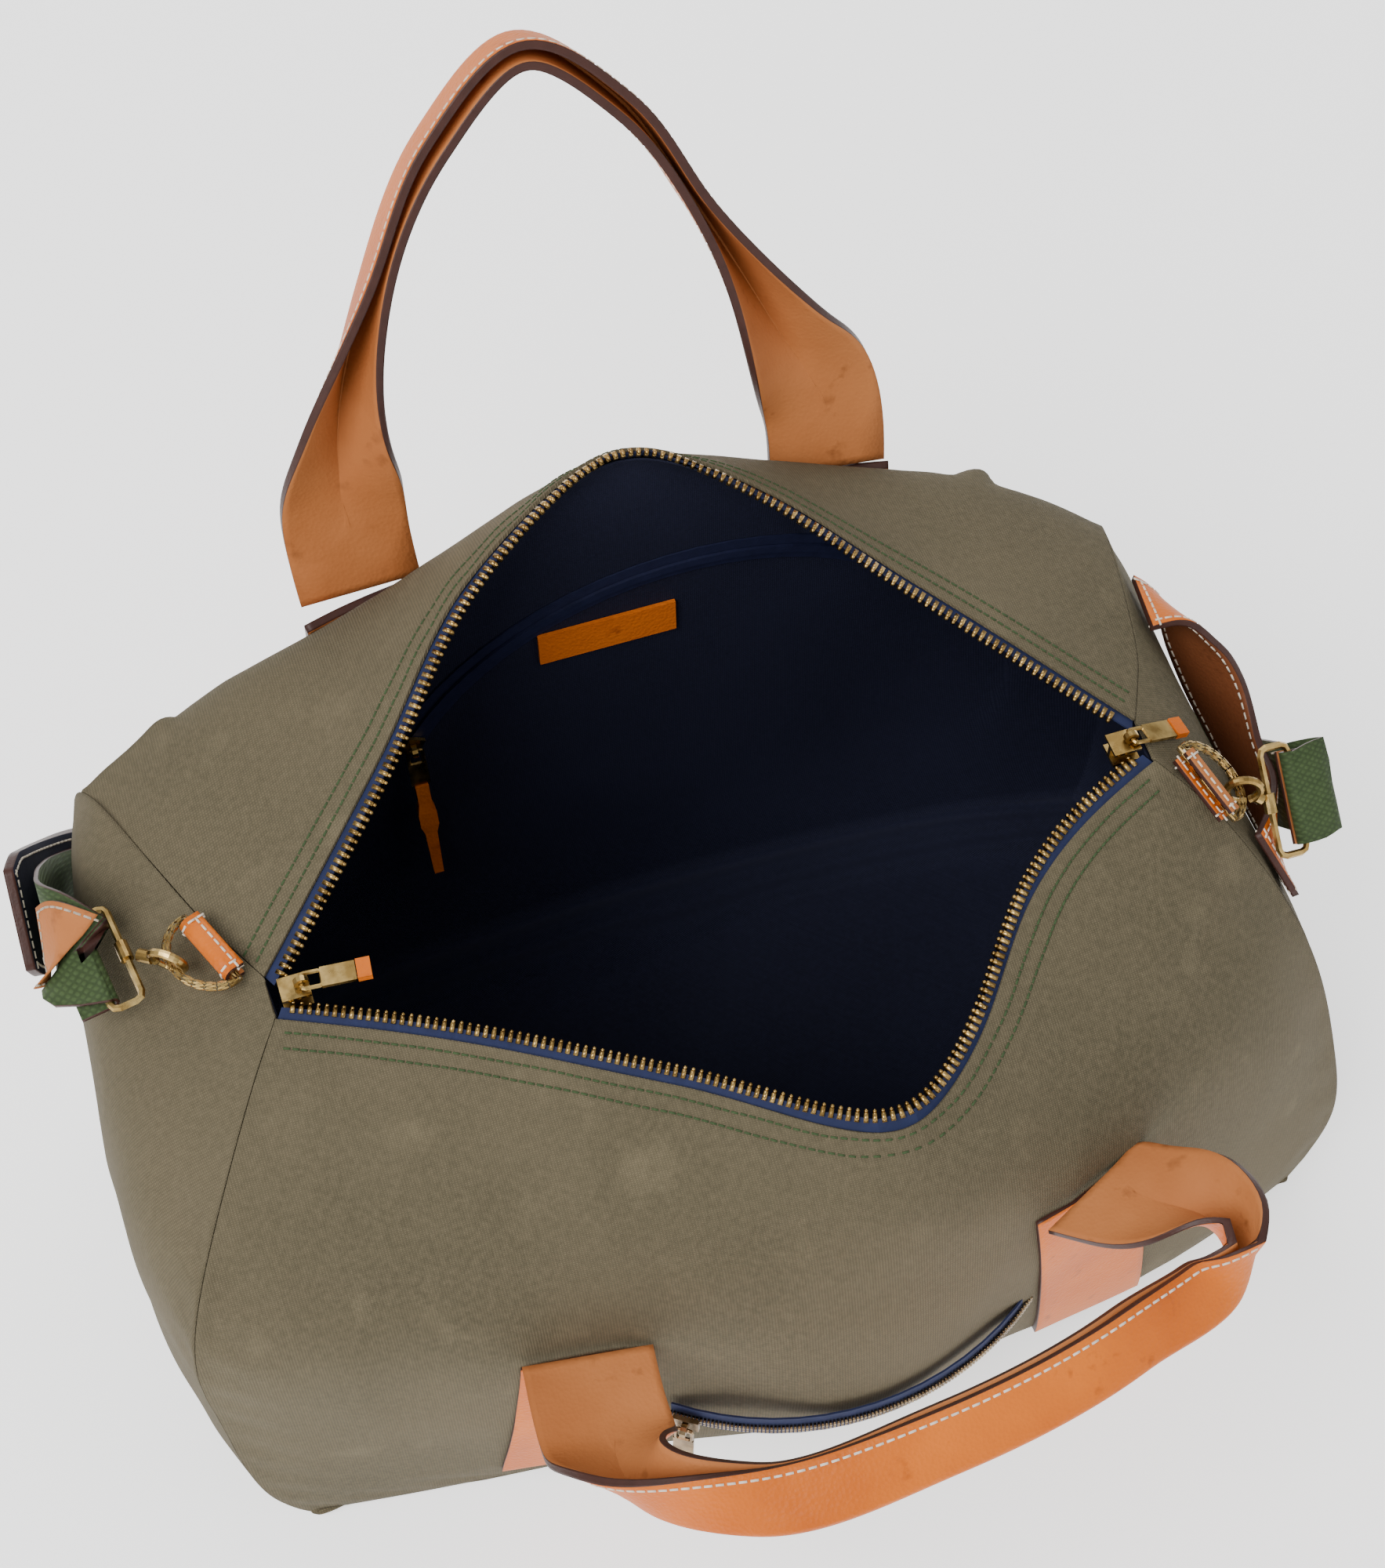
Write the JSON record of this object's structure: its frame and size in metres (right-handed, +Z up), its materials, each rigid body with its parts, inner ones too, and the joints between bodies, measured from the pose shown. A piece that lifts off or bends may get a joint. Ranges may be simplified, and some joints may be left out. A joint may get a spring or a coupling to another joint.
{
  "type": "weekender bag",
  "caption": "Soft canvas weekender bag with an open zipped mouth, stiff leather carrying handles, a zipped front pocket, an end grab handle and a clip-on shoulder strap.",
  "frame": {"origin": "on the floor under the middle of the body, on the flat underside of the base panel", "axes": "+X along the length towards the end with the grab handle, -Y towards the front pocket, +Z up"},
  "size_m": [0.5352, 0.4963, 0.4631],
  "materials": {
    "board": "plain sheet",
    "brass": "antiqued, softly polished",
    "canvas": "waxed, woven, matte",
    "leather": "smooth grain, stitched, painted edges",
    "navy_cloth": "plain woven lining",
    "navy_nylon": "moulded coil",
    "navy_tape": "woven tape",
    "pad_leather": "smooth, stitched, felt backed",
    "webbing": "coarse woven webbing"
  },
  "bodies": {
    "bag": {"base_board": "board", "base_panel": "canvas", "front_anchor_left": "leather", "front_anchor_right": "leather", "front_panel": "canvas", "grab_handle": "leather", "inner_label": "leather", "inner_zip_tape": "navy_tape", "inner_zip_teeth": "navy_nylon", "left_end_panel": "canvas", "lining": "navy_cloth", "pocket_zip_tape": "navy_tape", "pocket_zip_teeth": "brass", "rear_anchor_left": "leather", "rear_anchor_right": "leather", "rear_panel": "canvas", "right_end_panel": "canvas", "ring_tab_left": "leather", "ring_tab_right": "leather", "slider_left": "brass", "slider_right": "brass", "strap_loop_left": "brass", "strap_loop_right": "brass", "strap_pad": "pad_leather", "strap_tip_left": "leather", "strap_tip_right": "leather", "webbing": "webbing", "zip_tape_front": "navy_tape", "zip_tape_rear": "navy_tape", "zip_teeth_front": "brass", "zip_teeth_rear": "brass"},
    "rear_handle": {"rear_handle": "leather"},
    "front_handle": {"front_handle": "leather"},
    "puller_left": {"puller_left": "brass", "puller_tab_left": "leather"},
    "puller_right": {"puller_right": "brass", "puller_tab_right": "leather"},
    "pocket_slider": {"pocket_slider": "brass"},
    "pocket_puller": {"pocket_puller": "brass"},
    "inner_slider": {"inner_slider": "brass"},
    "inner_puller": {"inner_puller": "brass", "inner_pull": "leather"},
    "d_ring_left": {"d_ring_left": "brass"},
    "d_ring_right": {"d_ring_right": "brass"},
    "snap_hook_left": {"snap_hook_left": "brass"},
    "snap_hook_right": {"snap_hook_right": "brass"},
    "hook_trigger_left": {"hook_trigger_left": "brass"},
    "hook_trigger_right": {"hook_trigger_right": "brass"},
    "strap_adjuster": {"strap_adjuster": "brass"}
  },
  "joints": [
    {"name": "rear_handle_swing", "type": "hinge", "parent": "bag", "child": "rear_handle", "pos_m": [-0.00006, 0.15765, 0.26024], "axis": [1, 0, 0], "range_deg": [-80, 26]},
    {"name": "front_handle_swing", "type": "hinge", "parent": "bag", "child": "front_handle", "pos_m": [0.0001, -0.15182, 0.16573], "axis": [0.9938, -0.0239, 0.1085], "range_deg": [-24, 20]},
    {"name": "puller_left_swing", "type": "hinge", "parent": "bag", "child": "puller_left", "pos_m": [-0.16895, -0.01041, 0.25174], "axis": [-0.0995, -0.995, 0], "range_deg": [0, 150]},
    {"name": "puller_right_swing", "type": "hinge", "parent": "bag", "child": "puller_right", "pos_m": [0.17095, -0.00911, 0.25493], "axis": [0.1293, -0.9916, 0], "range_deg": [0, 140]},
    {"name": "pocket_slider_travel", "type": "hinge", "parent": "bag", "child": "pocket_slider", "pos_m": [0.0055, -0.05371, 0.09], "axis": [0, 0, 1], "range_deg": [0, 66]},
    {"name": "pocket_puller_swing", "type": "hinge", "parent": "pocket_slider", "child": "pocket_puller", "pos_m": [-0.07021, -0.16621, 0.09], "axis": [-0.8324, 0.5542, 0], "range_deg": [0, 50]},
    {"name": "inner_slider_travel", "type": "hinge", "parent": "bag", "child": "inner_slider", "pos_m": [0.033, 0.14481, 0.093], "axis": [0, 1, 0], "range_deg": [0, 90]},
    {"name": "inner_puller_swing", "type": "hinge", "parent": "inner_slider", "child": "inner_puller", "pos_m": [-0.09415, 0.13791, 0.16476], "axis": [-1, 0, 0], "range_deg": [0, 60]},
    {"name": "d_ring_left_tilt", "type": "hinge", "parent": "bag", "child": "d_ring_left", "pos_m": [-0.198, 0.0145, 0.252], "axis": [-0.387, 0.9221, 0], "range_deg": [-3, 3]},
    {"name": "snap_hook_left_swivel", "type": "hinge", "parent": "bag", "child": "snap_hook_left", "pos_m": [-0.22027, 0.01749, 0.25231], "axis": [-0.778, 0.6005, -0.1848], "range_deg": [-6, 6]},
    {"name": "hook_trigger_left_press", "type": "hinge", "parent": "snap_hook_left", "child": "hook_trigger_left", "pos_m": [-0.21847, 0.01677, 0.24877], "axis": [-0.5853, -0.7996, -0.1344], "range_deg": [0, 9], "stiffness_Nm_per_rad": 0.004, "springref_deg": -17.19},
    {"name": "d_ring_right_tilt", "type": "hinge", "parent": "bag", "child": "d_ring_right", "pos_m": [0.1955, -0.0325, 0.243], "axis": [0.3302, -0.8805, -0.3402], "range_deg": [-3, 3]},
    {"name": "snap_hook_right_swivel", "type": "hinge", "parent": "bag", "child": "snap_hook_right", "pos_m": [0.21695, -0.03667, 0.22895], "axis": [0.7527, -0.29, -0.5911], "range_deg": [-6, 6]},
    {"name": "hook_trigger_right_press", "type": "hinge", "parent": "snap_hook_right", "child": "hook_trigger_right", "pos_m": [0.21385, -0.03575, 0.22654], "axis": [0.3221, 0.9452, -0.0535], "range_deg": [0, 9], "stiffness_Nm_per_rad": 0.004, "springref_deg": -17.19},
    {"name": "strap_adjuster_slide", "type": "slide", "parent": "bag", "child": "strap_adjuster", "axis": [1, 0, 0], "range_m": [0, 0.03]}
  ]
}
